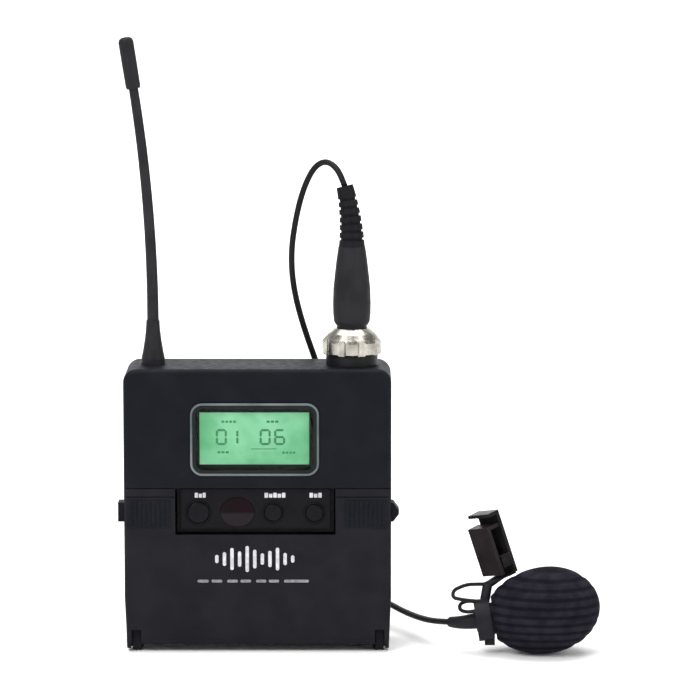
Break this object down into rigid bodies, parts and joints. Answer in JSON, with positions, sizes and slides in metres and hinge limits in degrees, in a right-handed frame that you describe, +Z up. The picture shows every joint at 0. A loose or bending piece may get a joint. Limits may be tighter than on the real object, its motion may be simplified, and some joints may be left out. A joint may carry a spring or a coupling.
{
  "type": "lavalier microphone with bodypack transmitter",
  "caption": "Clip-on lavalier microphone with foam windscreen, wired to a belt-worn bodypack transmitter with display, whip antenna and threaded plug.",
  "frame": {"origin": "middle of the bodypack's footprint, on the surface that it stands on", "axes": "+X to the right of the pack's front, +Y from its front to its back, +Z up"},
  "size_m": [0.117, 0.0701, 0.1491],
  "materials": {
    "case_black": "satin",
    "latch_black": "satin",
    "inner_black": "matte",
    "panel_black": "satin",
    "button_black": "satin",
    "bezel_grey": "gloss",
    "clear_window": "gloss",
    "display_green": "lit",
    "ir_red": "gloss",
    "sensor_black": "gloss",
    "board_green": "satin",
    "bright_steel": "satin",
    "black_steel": "satin",
    "gold": "gloss",
    "nickel": "gloss",
    "plug_black": "satin",
    "insulator": "matte",
    "rubber_black": "matte",
    "cord_black": "satin",
    "battery_label": "gloss",
    "mic_black": "satin",
    "capsule": "satin",
    "foam": "matte",
    "holder_black": "satin"
  },
  "bodies": {
    "pack": {"rear_case": "case_black", "front_case": "case_black", "chassis": "inner_black", "lcd_frame": "inner_black", "control_panel": "panel_black", "lcd_bezel": "bezel_grey", "lcd_window": "clear_window", "lcd_display": "display_green", "ir_window": "ir_red", "ir_sensor": "sensor_black", "board_chips": "sensor_black", "tact_switches": "sensor_black", "main_board": "board_green", "key_board": "board_green", "rf_shield": "bright_steel", "contact_plates": "bright_steel", "contact_springs": "bright_steel", "board_screws": "bright_steel", "hinge_pins": "bright_steel", "mic_grille": "bright_steel", "belt_clip": "black_steel", "clip_screws": "black_steel", "case_screws": "black_steel", "socket_pins": "gold", "antenna_bushing": "gold", "mic_socket": "nickel", "plug_body": "plug_black", "socket_nut": "plug_black", "plug_insert": "insulator", "socket_insulator": "insulator", "plug_boot": "rubber_black", "plug_relief": "rubber_black", "mic_relief": "rubber_black", "antenna_base": "rubber_black", "antenna_whip": "rubber_black", "antenna_cap": "rubber_black", "cord_plug_side": "cord_black", "cord_coil": "cord_black", "cord_mic_side": "cord_black", "battery_upper": "battery_label", "battery_lower": "battery_label", "mic_barrel": "mic_black", "mic_capsule": "capsule"},
    "battery_cover": {"battery_cover": "case_black", "latch_spring_left": "bright_steel", "latch_spring_right": "bright_steel"},
    "latch_left": {"latch_left": "latch_black"},
    "latch_right": {"latch_right": "latch_black"},
    "power_button": {"power_button": "button_black"},
    "mode_button": {"mode_button": "button_black"},
    "set_button": {"set_button": "button_black"},
    "coupling_ring": {"coupling_ring": "nickel"},
    "windscreen": {"windscreen": "foam"},
    "clip_holder": {"clip_holder": "holder_black", "clip_rear_jaw": "black_steel", "clip_pin": "bright_steel", "clip_spring": "bright_steel", "clip_loops": "black_steel"},
    "clip_front_jaw": {"clip_front_jaw": "black_steel"}
  },
  "joints": [
    {"name": "cover_hinge", "type": "hinge", "parent": "pack", "child": "battery_cover", "pos_m": [0, -0.0068, 0.0036], "axis": [1, 0, 0], "range_deg": [0, 90]},
    {"name": "latch_left_press", "type": "slide", "parent": "battery_cover", "child": "latch_left", "axis": [1, 0, 0], "range_m": [0, 0.0012], "stiffness_N_per_m": 900, "springref_m": -0.001, "deforming": ["latch_spring_left"]},
    {"name": "latch_right_press", "type": "slide", "parent": "battery_cover", "child": "latch_right", "axis": [-1, 0, 0], "range_m": [0, 0.0012], "stiffness_N_per_m": 900, "springref_m": -0.001, "deforming": ["latch_spring_right"]},
    {"name": "power_press", "type": "slide", "parent": "pack", "child": "power_button", "axis": [0, 1, 0], "range_m": [0, 0.0004], "stiffness_N_per_m": 1500, "springref_m": -0.0004},
    {"name": "mode_press", "type": "slide", "parent": "pack", "child": "mode_button", "axis": [0, 1, 0], "range_m": [0, 0.0004], "stiffness_N_per_m": 1500, "springref_m": -0.0004},
    {"name": "set_press", "type": "slide", "parent": "pack", "child": "set_button", "axis": [0, 1, 0], "range_m": [0, 0.0004], "stiffness_N_per_m": 1500, "springref_m": -0.0004},
    {"name": "ring_turn", "type": "hinge", "parent": "pack", "child": "coupling_ring", "pos_m": [0.02285, 0, 0.0745], "axis": [0, 0, 1], "continuous": true},
    {"name": "windscreen_pull", "type": "slide", "parent": "pack", "child": "windscreen", "axis": [0.9877, 0, 0.1564], "range_m": [0, 0.02]},
    {"name": "holder_turn", "type": "hinge", "parent": "pack", "child": "clip_holder", "pos_m": [0.0702, -0.01, 0.01065], "axis": [0.9877, 0, 0.1564], "range_deg": [-20, 90]},
    {"name": "jaw_open", "type": "hinge", "parent": "clip_holder", "child": "clip_front_jaw", "pos_m": [0.058, -0.0076, 0.0222], "axis": [0.6113, -0.766, 0.1986], "range_deg": [0, 18], "stiffness_Nm_per_rad": 0.05, "springref_deg": -17.19}
  ]
}
